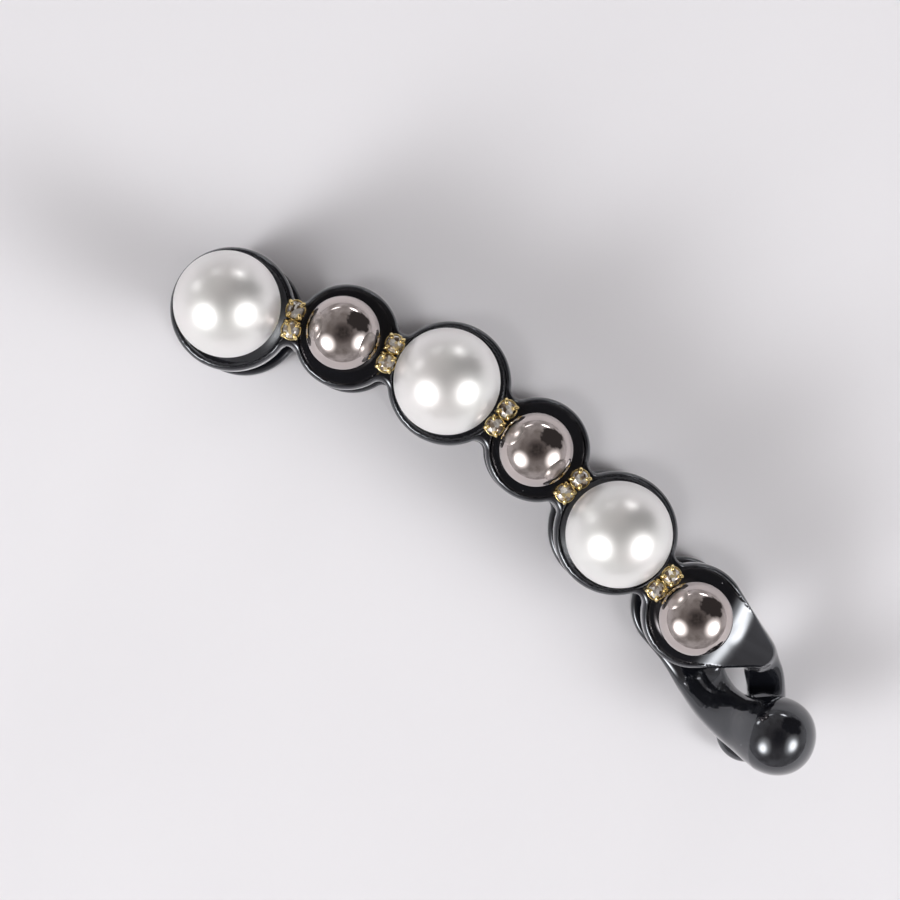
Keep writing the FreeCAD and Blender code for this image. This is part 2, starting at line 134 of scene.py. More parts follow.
# Hooks: x, y, z of points along each strand, half width, half thickness and roll there in degrees.
# HOOK_POWERS are the squareness of the section at the strand's start and end (2 is an ellipse).
FRONT_HOOK = (
    (58.6, -2.8, 18.0, 3.0, 1.4, 0),
    (63.0, -3.0, 15.1, 2.3, 1.6, -4),
    (66.5, -4.8, 12.3, 3.0, 1.6, -20),
    (69.2, -6.8, 9.7, 3.1, 1.5, -28),
    (70.9, -8.6, 7.2, 3.1, 1.5, -22),
    (71.8, -11.3, 4.9, 3.3, 1.6, -8),
    (72.2, -14.0, 3.9, 3.6, 1.8, 0),
)
FRONT_HOOK_POWERS = (2.6, 2.3)
FRONT_HOOK_REGION = ((54, -30, -5), (90, 10, 30))
FRONT_LOBE = (np.array((72.3, -14.4, 3.5)), np.array((4.9, 4.9, 2.6)))
REAR_HOOK = (
    (56.5, -9.2, 2.4, 3.9, 1.6, 0),
    (61.0, -12.0, 3.8, 4.0, 2.0, 5),
    (65.2, -13.6, 7.9, 3.9, 2.4, 11),
    (69.2, -13.5, 13.1, 4.3, 3.5, 3),
    (73.0, -12.1, 16.7, 5.2, 5.2, -8),
)
REAR_HOOK_POWERS = (2.9, 2.5)
REAR_HOOK_REGION = ((50, -30, -5), (90, 10, 30))
KNOB = (np.array((73.9, -11.6, 16.8)), 5.5)
SAMPLES_PER_SPAN = 20


def node_box(node):
    low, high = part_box(node)
    return np.array(low) * MM_PER_METRE, np.array(high) * MM_PER_METRE


def node_centre(node):
    low, high = node_box(node)
    return (low + high) / 2


BALLS = [node_centre(node) for node in BALL_NODES]
CUPS = [ball[:2] - np.array(shift) for ball, shift in zip(BALLS, BALL_SHIFTS)]
CUP_RADII = (PEARL_CUP_RADIUS, BEAD_CUP_RADIUS) * 3
DISH_FLOOR_Z = node_box("pearl_1")[0][2] + SEAT_DEPTH
FACE_Z = DISH_FLOOR_Z + DISH_DEPTH
FRONT_INNER_Z = node_box("front_comb")[1][2]
REAR_INNER_Z = node_box("rear_comb")[0][2]
FRONT_TIP_Z = node_box("front_comb")[0][2]
REAR_TIP_Z = node_box("rear_comb")[1][2]
PIN = node_centre("hinge_pin")


# ---------------------------------------------------------------- distances

FAR = 1e9
OUTSIDE_REGION = 1e3
TINY = 1e-6  # keeps a divisor from being nought


def blend_min(first, second, reach):
    share = np.clip(0.5 + 0.5 * (second - first) / reach, 0, 1)
    return second * (1 - share) + first * share - reach * share * (1 - share)


def blend_max(first, second, reach):
    return -blend_min(-first, -second, reach)


def length(vectors):
    return np.sqrt(np.sum(vectors * vectors, axis=1))


def round_cone(points, start, end, start_radius, end_radius):
    """Distance to two balls and the straight taper between them, in any number of dimensions."""
    axis = end - start
    square = axis @ axis
    taper = start_radius - end_radius
    slant = square - taper * taper
    local = points - start
    along = local @ axis
    beyond = along - square
    across = np.sum((local * square - np.outer(along, axis)) ** 2, axis=1)
    along_square = along * along * square
    beyond_square = beyond * beyond * square
    limit = np.sign(taper) * taper * taper * across
    side = (np.sqrt(across * slant / square) + along * taper) / square - start_radius
    at_end = np.sqrt(across + beyond_square) / square - end_radius
    at_start = np.sqrt(across + along_square) / square - start_radius
    near_start = np.where(np.sign(along) * slant * along_square < limit, at_start, side)
    return np.where(np.sign(beyond) * slant * beyond_square > limit, at_end, near_start)


def outline(flat, tail, tail_radius):
    """Distance to an arm's outline in plan: six cups, the necks between them and the tapered tail."""
    found = round_cone(flat, CUPS[5], tail, CUP_RADII[5], tail_radius)
    for centre, radius in zip(CUPS, CUP_RADII):
        found = np.minimum(found, length(flat - centre) - radius)
    for number in range(5):
        first, second = CUPS[number], CUPS[number + 1]
        gap = np.linalg.norm(second - first)
        forward = (second - first) / gap
        sideways = np.array((-forward[1], forward[0]))
        reach = CUP_RADII[number] + VALLEY_RADIUS
        other = CUP_RADII[number + 1] + VALLEY_RADIUS
        along = (gap**2 + reach**2 - other**2) / (2 * gap)
        away = math.sqrt(reach**2 - along**2)
        u = (flat - first) @ forward
        w = (flat - first) @ sideways
        in_neck = np.abs(w) < away * np.minimum(u / along, (gap - u) / (gap - along))
        left = np.hypot(u - along, w - away)
        right = np.hypot(u - along, w + away)
        found = np.where(in_neck, VALLEY_RADIUS - np.minimum(left, right), found)
    return found


def slab(flat_distance, height, low, high, low_round, high_round):
    """A flat shape given thickness, its lower and upper edges rounded."""
    middle = (low + high) / 2
    edge = np.where(height > middle, high_round, low_round)
    x = flat_distance + edge
    y = np.abs(height - middle) - (high - low) / 2 + edge
    return np.minimum(np.maximum(x, y), 0) + np.hypot(np.maximum(x, 0), np.maximum(y, 0)) - edge


def chain_point(distance, offset):
    """A point `distance` along the line through the cup centres, `offset` to its +Y side."""
    for number in range(5):
        start, end = CUPS[number], CUPS[number + 1]
        span = np.linalg.norm(end - start)
        if distance <= span or number == 4:
            forward = (end - start) / span
            return start + forward * distance + np.array((-forward[1], forward[0])) * offset
        distance -= span


def teeth(points, offset, stagger, root_z, tip_z):
    """A comb of tapered round-tipped teeth from root_z to tip_z."""
    direction = math.copysign(1, tip_z - root_z)
    away = np.full(len(points), FAR)
    for number in range(TOOTH_COUNT):
        root = chain_point(TOOTH_FIRST + stagger + number * TOOTH_PITCH, offset)
        away = np.minimum(away, np.hypot(points[:, 0] - root[0], points[:, 1] - root[1]))
    profile = np.stack((away, points[:, 2] * direction), axis=1)
    start = np.array((0.0, root_z * direction - TOOTH_ROOT_DEPTH))
    end = np.array((0.0, tip_z * direction - TOOTH_TIP_RADIUS))
    return round_cone(profile, start, end, TOOTH_ROOT_RADIUS, TOOTH_TIP_RADIUS)


def lugs(points, place, direction):
    """A pair of rounded lugs on the hinge axis, running up (1) or down (-1) into their arm."""
    away, width = place
    height = (points[:, 2] - PIN[2]) * direction
    upward = np.clip(height, 0, LUG_REACH)
    flat = np.hypot(points[:, 0] - PIN[0], height - upward) - KNUCKLE_RADIUS
    across = np.abs(np.abs(points[:, 1] - PIN[1]) - away)
    return slab(flat, across, -width / 2, width / 2, LUG_EDGE_ROUND, LUG_EDGE_ROUND)


def bore(points, radius):
    """Distance to the pin's hole."""
    return np.hypot(points[:, 0] - PIN[0], points[:, 2] - PIN[2]) - radius


def smooth_path(stations):
    """Catmull-Rom samples through the stations: centres, three directions and half sizes at each."""
    rows = np.array(stations, float)
    rows = np.vstack((2 * rows[0] - rows[1], rows, 2 * rows[-1] - rows[-2]))
    samples = []
    for a, b, c, d in zip(rows, rows[1:], rows[2:], rows[3:]):
        for step in range(SAMPLES_PER_SPAN):
            t = step / SAMPLES_PER_SPAN
            square = (2 * a - 5 * b + 4 * c - d) * t**2
            cube = (3 * b - a - 3 * c + d) * t**3
            samples.append(0.5 * (2 * b + (c - a) * t + square + cube))
    samples.append(rows[-2])
    samples = np.array(samples)
    centre = samples[:, :3]
    forward = np.gradient(centre, axis=0)
    forward /= length(forward)[:, None]
    level = np.cross(forward, (0, 0, 1))
    level /= length(level)[:, None]
    upright = np.cross(level, forward)
    roll = np.radians(samples[:, 5])[:, None]
    across = level * np.cos(roll) + upright * np.sin(roll)
    upward = np.cross(across, forward)
    return centre, forward, across, upward, samples[:, 3], samples[:, 4]


def strand(points, path, powers):
    """Distance to a rod of changing oval section that follows a path."""
    centre, forward, across, upward, half_width, half_thickness = path
    best = np.full(len(points), FAR**2)
    where = np.zeros(len(points))
    for number in range(len(centre) - 1):
        start = centre[number]
        axis = centre[number + 1] - start
        share = np.clip((points - start) @ axis / (axis @ axis), 0, 1)
        gap = points - start - share[:, None] * axis
        distance = np.sum(gap * gap, axis=1)
        closer = distance < best
        best = np.where(closer, distance, best)
        where = np.where(closer, number + share, where)
    index = np.minimum(where.astype(int), len(centre) - 2)
    share = (where - index)[:, None]

    def between(values):
        return values[index] * (1 - share) + values[index + 1] * share

    power = powers[0] + (powers[1] - powers[0]) * where / (len(centre) - 1)
    local = points - between(centre)
    width = between(half_width[:, None])[:, 0]
    thickness = between(half_thickness[:, None])[:, 0]
    u = np.sum(local * between(across), axis=1) / width
    v = np.sum(local * between(upward), axis=1) / thickness
    w = np.sum(local * between(forward), axis=1) / thickness
    away = length(local) + TINY
    scale = (np.abs(u) ** power + np.abs(v) ** power + np.abs(w) ** power) ** (1 / power) + TINY
    return away - away / scale


def near(points, region, distance):
    """The distance where points are in the region's box, and far away elsewhere, to save work."""
    low, high = region
    inside = np.all((points > low) & (points < high), axis=1)
    found = np.full(len(points), OUTSIDE_REGION)
    if inside.any():
        found[inside] = distance(points[inside])
    return found


FRONT_PATH = smooth_path(FRONT_HOOK)
REAR_PATH = smooth_path(REAR_HOOK)


def bend_drop(flat):
    """How far the front arm has bent down at a place in plan."""
    local = flat - CUPS[5]
    first, last = BEND_WAYS
    x, y = local.T
    between = (last[0] * y - last[1] * x > 0) & (x * first[1] - y * first[0] > 0)
    along = np.where(between, length(local), np.maximum(local @ first, local @ last))
    along = np.maximum(along - BEND_START, 0)
    turning = np.minimum(along, BEND_REACH)
    return BEND * turning * (2 * along - turning)


def dishes(flat, height):
    """The shallow hollows in the front arm's face. The last one runs out over the tail."""
    long_dish = (CUPS[5], LONG_DISH_END, CUP_RADII[5] - RIM_WIDTH, LONG_DISH_END_RADIUS)
    inside = round_cone(flat, *long_dish)
    for centre, radius in zip(CUPS[:5], CUP_RADII):
        inside = np.minimum(inside, length(flat - centre) - radius + RIM_WIDTH)
    return blend_max(inside, DISH_FLOOR_Z - height, DISH_FLOOR_BLEND)


def front_hook_field(points):
    rod = strand(points, FRONT_PATH, FRONT_HOOK_POWERS)
    centre, radii = FRONT_LOBE
    scaled = length((points - centre) / radii)
    lobe = scaled * (scaled - 1) / (length((points - centre) / radii**2) + TINY)
    return blend_min(rod, lobe, LOBE_BLEND)


def front_field(points):
    flat = points[:, :2]
    height = points[:, 2] + bend_drop(flat)
    edge = outline(flat, FRONT_TAIL, FRONT_TAIL_RADIUS)
    found = slab(edge, height, FRONT_INNER_Z, FACE_Z, INNER_EDGE_ROUND, OUTER_EDGE_ROUND)
    found = blend_max(found, -dishes(flat, height), DISH_RIM_BLEND)
    found = blend_min(found, near(points, FRONT_HOOK_REGION, front_hook_field), FRONT_HOOK_BLEND)
    comb = teeth(points, FRONT_TOOTH_OFFSET, 0, FRONT_INNER_Z, FRONT_TIP_Z)
    found = blend_min(found, comb, TOOTH_BLEND)
    found = blend_min(found, lugs(points, FRONT_KNUCKLE, 1), LUG_BLEND)
    return np.maximum(found, -bore(points, FRONT_BORE_RADIUS))


def rear_hook_field(points):
    rod = strand(points, REAR_PATH, REAR_HOOK_POWERS)
    centre, radius = KNOB
    return blend_min(rod, length(points - centre) - radius, KNOB_BLEND)


def rear_field(points):
    edge = outline(points[:, :2], REAR_TAIL, REAR_TAIL_RADIUS)
    found = slab(edge, points[:, 2], 0, REAR_INNER_Z, OUTER_EDGE_ROUND, INNER_EDGE_ROUND)
    found = blend_min(found, near(points, REAR_HOOK_REGION, rear_hook_field), REAR_HOOK_BLEND)
    comb = teeth(points, REAR_TOOTH_OFFSET, TOOTH_PITCH / 2, REAR_INNER_Z, REAR_TIP_Z)
    found = blend_min(found, comb, TOOTH_BLEND)
    found = blend_min(found, lugs(points, REAR_EAR, -1), LUG_BLEND)
    return np.maximum(np.maximum(found, -bore(points, REAR_BORE_RADIUS)), -points[:, 2])


# ---------------------------------------------------------------- surface of a field

BLOCK = 4  # cells along each side of a block that is skipped or meshed as a whole
BAND = 1.3  # a block is meshed if its middle is closer to the surface than this many block sides
CROSSING_REACH = 0.02  # how far round a crossing, and round a vertex, the normal is sampled
VERTEX_REACH = 0.07
CENTRING = 0.05  # how strongly a vertex is held near the middle of its cell's crossings


def slopes(field, points, reach):
    """Unit outward directions of a field, from four tetrahedral samples round each point."""
    total = np.zeros_like(points)
    for corner in ((1, 1, 1), (1, -1, -1), (-1, 1, -1), (-1, -1, 1)):
        way = np.array(corner, float)
        total += field(points + way * reach)[:, None] * way
    return total / np.maximum(length(total), 1e-12)[:, None]


def skin(field, low, high, step):
    """Vertices, quads and normals of a field's zero surface, by dual contouring in a narrow band."""
    low = np.array(low, float)
    blocks = np.ceil((np.array(high) - low) / (step * BLOCK)).astype(int)
    cells = blocks * BLOCK
    seeds = np.stack(np.meshgrid(*[np.arange(n) for n in blocks], indexing="ij"), -1).reshape(-1, 3)
    centres = low + (seeds + 0.5) * step * BLOCK
    close = np.abs(field(centres)) < step * BLOCK * BAND
    active = np.zeros(cells, bool)
    for x, y, z in seeds[close] * BLOCK:
        active[x : x + BLOCK, y : y + BLOCK, z : z + BLOCK] = True
    known = np.zeros(cells + 1, bool)
    for dx in (0, 1):
        for dy in (0, 1):
            for dz in (0, 1):
                known[dx : dx + cells[0], dy : dy + cells[1], dz : dz + cells[2]] |= active
    places = np.argwhere(known)
    values = np.full(cells + 1, np.nan)
    values[known] = field(low + places * step)

    def crossed_edges(axis):
        """The grid edges along one axis that the surface crosses: start cell, crossing point, and
        whether the edge leaves the solid."""
        ahead = [slice(None)] * 3
        behind = [slice(None)] * 3
        ahead[axis] = slice(1, None)
        behind[axis] = slice(None, -1)
        first, second = values[tuple(behind)], values[tuple(ahead)]
        crossing = np.isfinite(first) & np.isfinite(second) & ((first < 0) != (second < 0))
        start = np.argwhere(crossing)
        a, b = first[crossing], second[crossing]
        points = low + start * step
        points[:, axis] += step * a / (a - b)
        return start, points, a < 0

    cell_number = np.full(cells, -1)
    rows, sums, quads = [], [], []
    for axis in range(3):
        start, points, leaving = crossed_edges(axis)
        normals = slopes(field, points, CROSSING_REACH)
        u, v = (axis + 1) % 3, (axis + 2) % 3
        around = []
        for du, dv in ((0, 0), (-1, 0), (-1, -1), (0, -1)):
            corner = start.copy()
            corner[:, u] += du
            corner[:, v] += dv
            around.append(np.ravel_multi_index(corner.T, cells))
        quads.append(np.where(leaving[:, None], np.stack(around, 1), np.stack(around[::-1], 1)))
        for owner in around:
            rows.append(owner)
            sums.append(np.hstack((points, normals)))
    rows = np.concatenate(rows)
    sums = np.vstack(sums)
    used, member = np.unique(rows, return_inverse=True)
    points, normals = sums[:, :3], sums[:, 3:]
    count = np.bincount(member)
    middle = np.stack([np.bincount(member, points[:, k]) for k in range(3)], 1) / count[:, None]
    matrix = np.zeros((len(used), 3, 3))
    for i in range(3):
        for j in range(3):
            matrix[:, i, j] = np.bincount(member, normals[:, i] * normals[:, j])
    offset = np.sum(normals * (points - middle[member]), axis=1)
    target = np.stack([np.bincount(member, normals[:, k] * offset) for k in range(3)], 1)
    matrix += np.eye(3) * CENTRING * count[:, None, None]
    vertices = middle + np.clip(np.linalg.solve(matrix, target[:, :, None])[:, :, 0], -step, step)
    faces = np.searchsorted(used, np.vstack(quads))
    return vertices, faces, slopes(field, vertices, VERTEX_REACH)


# ---------------------------------------------------------------- small shapes


def lathe(profile, sides):
    """A closed solid turned round Z from (radius, height) points, its first and last on the axis."""
    vertices = [(0.0, 0.0, profile[0][1])]
    for radius, height in profile[1:-1]:
        for side in range(sides):
            angle = 2 * math.pi * side / sides
            vertices.append((radius * math.cos(angle), radius * math.sin(angle), height))
    vertices.append((0.0, 0.0, profile[-1][1]))
    last = len(vertices) - 1
    faces = []
    for side in range(sides):
        following = (side + 1) % sides
        faces.append((0, 1 + following, 1 + side))
        for ring in range(len(profile) - 3):
            a = 1 + ring * sides
            faces.append((a + side, a + following, a + sides + following, a + sides + side))
        top = last - sides
        faces.append((top + side, top + following, last))
    return np.array(vertices), faces


def tube(points, radii, sides=16):
    """A closed round rod along points, its ends domed."""
    points = np.array(points, float)
    radii = np.broadcast_to(np.array(radii, float), len(points)).copy()
    forward = np.gradient(points, axis=0)
    forward /= length(forward)[:, None]
    ends = [(points[0], forward[0], radii[0], -1), (points[-1], forward[-1], radii[-1], 1)]
    tilts = [math.radians(angle) for angle in (80, 60, 35)]
    caps = []
    for point, way, radius, hand in ends:
        out = hand * way * radius
        caps.append([(point + out * math.sin(tilt), way, radius * math.cos(tilt)) for tilt in tilts])
    rings = caps[0] + list(zip(points, forward, radii)) + caps[1][::-1]
    side_way = np.cross(rings[0][1], (0.31, 0.52, 0.79))
    vertices = []
    for centre, way, radius in rings:
        side_way = side_way - way * (side_way @ way)
        side_way /= np.linalg.norm(side_way)
        third = np.cross(way, side_way)
        for side in range(sides):
            angle = 2 * math.pi * side / sides
            vertices.append(centre + radius * (math.cos(angle) * side_way + math.sin(angle) * third))
    faces = [tuple(range(sides))[::-1], tuple(range(len(vertices) - sides, len(vertices)))]
    for ring in range(len(rings) - 1):
        for side in range(sides):
            following = (side + 1) % sides
            a, b = ring * sides, (ring + 1) * sides
            faces.append((a + side, a + following, b + following, b + side))
    return np.array(vertices), faces


def together(parts):
    """One mesh from several (vertices, faces)."""
    vertices, faces, shift = [], [], 0
    for some, shapes in parts:
        vertices.append(some)
        faces += [tuple(index + shift for index in face) for face in shapes]
        shift += len(some)
    return np.vstack(vertices), faces


def make(name, body, material, vertices, faces, replaced, normals=None, smooth=True):
    """Adds one piece, riding on its body unless that is None."""
    mesh = bpy.data.meshes.new(name)
    places = np.asarray(vertices) / MM_PER_METRE
    mesh.from_pydata(places.tolist(), [], [tuple(face) for face in faces])
    mesh.polygons.foreach_set("use_smooth", [smooth] * len(mesh.polygons))
    mesh.materials.append(material)
    mesh.update()
    if normals is not None:
        mesh.normals_split_custom_set_from_vertices(normals.tolist())
    piece = bpy.data.objects.new(name, mesh)
    bpy.context.scene.collection.objects.link(piece)
    if body:
        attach(piece, body)
    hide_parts(*replaced)
    return piece


# ---------------------------------------------------------------- materials


def new_material(name):
    """A material, its nodes and links, its shader and the place on the object."""
    material = bpy.data.materials.new(name)
    material.use_nodes = True
    nodes = material.node_tree.nodes
    shader = nodes["Principled BSDF"]
    place = nodes.new("ShaderNodeTexCoord")
    return material, nodes, material.node_tree.links, shader, place.outputs["Object"]


def noise(nodes, links, place, scale, detail=3.0):
    node = nodes.new("ShaderNodeTexNoise")
    node.inputs["Scale"].default_value = scale
    node.inputs["Detail"].default_value = detail
    links.new(place, node.inputs["Vector"])
    return node.outputs["Fac"]


def span(nodes, links, value, low, high, from_low=0.3, from_high=0.7):
    """A value stretched from one range, which is a noise's usual one unless given, to another."""
    node = nodes.new("ShaderNodeMapRange")
    node.inputs["From Min"].default_value = from_low
    node.inputs["From Max"].default_value = from_high
    node.inputs["To Min"].default_value = low
    node.inputs["To Max"].default_value = high
    links.new(value, node.inputs["Value"])
    return node.outputs["Result"]


def mixed(nodes, links, share, first, second):
    """A mix of two colours, each either fixed or from a socket."""
    node = nodes.new("ShaderNodeMix")
    node.data_type = "RGBA"
    for key, value in (("A", first), ("B", second)):
        socket = [s for s in node.inputs if s.name == key and s.type == "RGBA"][0]
        if isinstance(value, tuple):
            socket.default_value = (*value, 1)
        else:
            links.new(value, socket)
    links.new(share, node.inputs["Factor"])
    return [s for s in node.outputs if s.type == "RGBA"][0]


def bump(nodes, links, shader, height, strength, distance):
    node = nodes.new("ShaderNodeBump")
    node.inputs["Strength"].default_value = strength
    node.inputs["Distance"].default_value = distance / MM_PER_METRE
    links.new(height, node.inputs["Height"])
    links.new(node.outputs["Normal"], shader.inputs["Normal"])


def colour_ramp(nodes, links, value, stops):
    """A colour for each value, from (position, colour) stops."""
    node = nodes.new("ShaderNodeValToRGB")
    elements = node.color_ramp.elements
    while len(elements) < len(stops):
        elements.new(0.5)
    for element, (position, colour) in zip(elements, stops):
        element.position = position
        element.color = (*colour, 1)
    links.new(value, node.inputs["Fac"])
    return node


def black_plastic():
    """Polished black moulding: faint flow ripples, uneven polish and a little dust."""
    material, nodes, links, shader, place = new_material("black_plastic_gloss")
    shader.inputs["IOR"].default_value = 1.6
    shader.inputs["Coat Weight"].default_value = 0.8
    shader.inputs["Coat Roughness"].default_value = 0.03
    shader.inputs["Specular Tint"].default_value = (0.86, 0.91, 1.0, 1)
    dust = nodes.new("ShaderNodeTexVoronoi")
    dust.inputs["Scale"].default_value = 520
    links.new(place, dust.inputs["Vector"])
    speck = span(nodes, links, dust.outputs["Distance"], 1, 0, 0.045, 0.07)
    patchy = span(nodes, links, noise(nodes, links, place, 90), 0, 1, 0.52, 0.62)
    both = nodes.new("ShaderNodeMath")
    both.operation = "MULTIPLY"
    links.new(speck, both.inputs[0])
    links.new(patchy, both.inputs[1])
    colour = mixed(nodes, links, both.outputs[0], (0.006, 0.0065, 0.009), (0.42, 0.42, 0.43))
    links.new(colour, shader.inputs["Base Color"])
    rough = span(nodes, links, noise(nodes, links, place, 160), 0.05, 0.13)
    links.new(rough, shader.inputs["Roughness"])
    bump(nodes, links, shader, noise(nodes, links, place, 420, 2), 0.12, 0.02)
    return material


def pearl():
    """Pearl lacquer over a ball: silvery white, softly mirror-like under a clear coat."""
    material, nodes, links, shader, place = new_material("pearl_lacquer")
    tint = span(nodes, links, noise(nodes, links, place, 130), 0, 1)
    colour = mixed(nodes, links, tint, (0.84, 0.845, 0.825), (0.87, 0.845, 0.835))
    links.new(colour, shader.inputs["Base Color"])
    shader.inputs["Metallic"].default_value = 0.68
    shader.inputs["Coat Weight"].default_value = 0.25
    shader.inputs["Coat Roughness"].default_value = 0.28
    shader.inputs["Sheen Weight"].default_value = 0.1
    rough = span(nodes, links, noise(nodes, links, place, 110), 0.34, 0.38)
    links.new(rough, shader.inputs["Roughness"])
    bump(nodes, links, shader, noise(nodes, links, place, 300, 2), 0.02, 0.01)
    return material


def bead_chrome():
    """Warm grey mirror plating with hairline marks."""
    material, nodes, links, shader, place = new_material("bead_chrome")
    tint = span(nodes, links, noise(nodes, links, place, 220), 0, 1)
    colour = mixed(nodes, links, tint, (0.56, 0.50, 0.48), (0.52, 0.47, 0.455))
    links.new(colour, shader.inputs["Base Color"])
    shader.inputs["Metallic"].default_value = 1
    rough = span(nodes, links, noise(nodes, links, place, 500, 6), 0.02, 0.07)
    links.new(rough, shader.inputs["Roughness"])
    bump(nodes, links, shader, noise(nodes, links, place, 500, 5), 0.05, 0.01)
    return material


def gold():
    """Thin pale gold plating on stamped metal."""
    material, nodes, links, shader, place = new_material("pale_gold_plating")
    tint = span(nodes, links, noise(nodes, links, place, 900), 0, 1)
    colour = mixed(nodes, links, tint, (0.92, 0.76, 0.40), (0.80, 0.60, 0.24))
    links.new(colour, shader.inputs["Base Color"])
    shader.inputs["Metallic"].default_value = 1
    rough = span(nodes, links, noise(nodes, links, place, 1500), 0.12, 0.28)
    links.new(rough, shader.inputs["Roughness"])
    bump(nodes, links, shader, noise(nodes, links, place, 2500), 0.2, 0.01)
    return material


def crystal():
    """Foil-backed cut glass whose colour holds painted glints: each facet cell is painted dark, grey,
    near-white or gold, a broken image of the gold setting and the light behind it.
    """
    material, nodes, links, shader, place = new_material("foiled_crystal_painted_glints")
    facets = nodes.new("ShaderNodeTexVoronoi")
    facets.inputs["Scale"].default_value = 1900
    links.new(place, facets.inputs["Vector"])
    split = nodes.new("ShaderNodeSeparateColor")
    links.new(facets.outputs["Color"], split.inputs["Color"])
    # Painted glints and painted reflections: these facet colours stand in for the lamps and the gold
    # setting caught in the stone, not a colour of the glass.
    stops = ((0.0, (0.16, 0.115, 0.08)), (0.18, (0.45, 0.37, 0.29)), (0.38, (0.70, 0.66, 0.62)))
    stops += ((0.58, (0.95, 0.93, 0.89)), (0.86, (0.86, 0.70, 0.38)))
    ramp = colour_ramp(nodes, links, split.outputs["Red"], stops)
    ramp.color_ramp.interpolation = "CONSTANT"
    links.new(ramp.outputs["Color"], shader.inputs["Base Color"])
    metallic = span(nodes, links, split.outputs["Green"], 0.0, 0.55, 0.2, 0.8)
    links.new(metallic, shader.inputs["Metallic"])
    shader.inputs["Roughness"].default_value = 0.04
    shader.inputs["Coat Weight"].default_value = 1.0
    shader.inputs["Coat Roughness"].default_value = 0.02
    return material


def steel():
    """Drawn steel with fine lengthwise marks."""
    material, nodes, links, shader, place = new_material("drawn_steel")
    stretch = nodes.new("ShaderNodeMapping")
    stretch.inputs["Scale"].default_value = (1, 0.05, 1)
    links.new(place, stretch.inputs["Vector"])
    marks = noise(nodes, links, stretch.outputs["Vector"], 4000)
    tint = span(nodes, links, marks, 0, 1)
    colour = mixed(nodes, links, tint, (0.50, 0.50, 0.51), (0.66, 0.66, 0.67))
    links.new(colour, shader.inputs["Base Color"])
    shader.inputs["Metallic"].default_value = 1
    links.new(span(nodes, links, marks, 0.18, 0.36), shader.inputs["Roughness"])
    bump(nodes, links, shader, marks, 0.2, 0.01)
    return material


def paper():
    """The pale table: a lilac-white sheet with faint mottling, on a greyer desk further out."""
    material, nodes, links, shader, place = new_material("pale_table")
    tint = span(nodes, links, noise(nodes, links, place, 9), 0, 1)
    sheet = mixed(nodes, links, tint, (0.81, 0.80, 0.83), (0.84, 0.83, 0.86))
    away = nodes.new("ShaderNodeVectorMath")
    away.operation = "LENGTH"
    links.new(place, away.inputs[0])
    desk = span(nodes, links, away.outputs["Value"], 0, 1, 0.5, 1.0)
    colour = mixed(nodes, links, desk, sheet, (0.70, 0.68, 0.69))
    links.new(colour, shader.inputs["Base Color"])
    shader.inputs["Roughness"].default_value = 0.6
    shader.inputs["Specular IOR Level"].default_value = 0.2
    bump(nodes, links, shader, noise(nodes, links, place, 900), 0.05, 0.05)
    return material


# ---------------------------------------------------------------- arms

PLASTIC = black_plastic()
STEEL = steel()
GOLD = gold()
CRYSTAL = crystal()
PEARL = pearl()
CHROME = bead_chrome()
GRID_STEP = 0.28
GRID_MARGIN = 0.9


def arm(name, field, replaced):
    """One arm's moulding, in place of the nodes that it is made of."""
    boxes = [node_box(node) for node in replaced]
    low = np.min([box[0] for box in boxes], axis=0) - GRID_MARGIN
    high = np.max([box[1] for box in boxes], axis=0) + GRID_MARGIN
    vertices, faces, normals = skin(field, low, high, GRID_STEP)
    return make(name, name, PLASTIC, vertices, faces, replaced, normals)


arm("front_arm", front_field, ("front_arm", "front_comb", "front_hook"))
arm("rear_arm", rear_field, ("rear_arm", "rear_comb"))

# ---------------------------------------------------------------- hinge

SPRING_RADIUS = 1.55
WIRE_RADIUS = 0.25
FULL_TURNS = 4
LEG_ANGLE = math.radians(36)
COIL_STEPS = 240
LEG_STEPS = 10


def pin():
    """A straight pin with domed ends and a fine groove near each."""
    low, high = node_box("hinge_pin")
    half = (high[1] - low[1]) / 2
    radius = (high[0] - low[0]) / 2
    steps = ((0, 0), (0.35, 0.02), (0.7, 0.1), (0.93, 0.28), (1, 0.55), (1, 0.9))
    steps += ((0.94, 1.0), (0.94, 1.15), (1, 1.25))
    profile = [(share * radius, depth - half) for share, depth in steps]
    profile += [(r, -z) for r, z in profile[::-1]]
    vertices, faces = lathe(profile, 48)
    lying = vertices[:, [0, 2, 1]] * np.array((1, 1, -1)) + PIN
    make("hinge_pin", "rear_arm", STEEL, lying, faces, ("hinge_pin",))


def spring():
    """A torsion spring round the pin. Its two legs rest on the arms' inner faces."""
    half_width = node_box("hinge_spring")[1][1] - PIN[1] - WIRE_RADIUS
    start = math.pi / 2 + LEG_ANGLE
    turn = 2 * math.pi * FULL_TURNS + math.pi - 2 * LEG_ANGLE
    coil = []
    for step in range(COIL_STEPS + 1):
        share = step / COIL_STEPS
        angle = start + turn * share
        x, z = SPRING_RADIUS * math.cos(angle), SPRING_RADIUS * math.sin(angle)
        coil.append((x, half_width * (1 - 2 * share), z))
    rise = PIN[2] - REAR_INNER_Z - WIRE_RADIUS - SPRING_RADIUS * math.cos(LEG_ANGLE)
    leg = rise / math.sin(LEG_ANGLE)
    way = np.array((math.cos(LEG_ANGLE), 0, math.sin(LEG_ANGLE)))
    first = [np.array(coil[0]) + way * leg * (1 - n / LEG_STEPS) for n in range(LEG_STEPS)]
    last = [np.array(coil[-1]) + way * (1, 1, -1) * leg * (n + 1) / LEG_STEPS for n in range(LEG_STEPS)]
    vertices, faces = tube(first + coil + last, WIRE_RADIUS, 14)
    piece = make("hinge_spring", None, STEEL, vertices + PIN, faces, ("hinge_spring",))
    low, high = PIN.copy(), PIN.copy()
    low[1] -= half_width - WIRE_RADIUS
    high[1] += half_width - WIRE_RADIUS
    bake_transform(piece)


pin()
spring()

# ---------------------------------------------------------------- balls

BALL_RINGS = 72


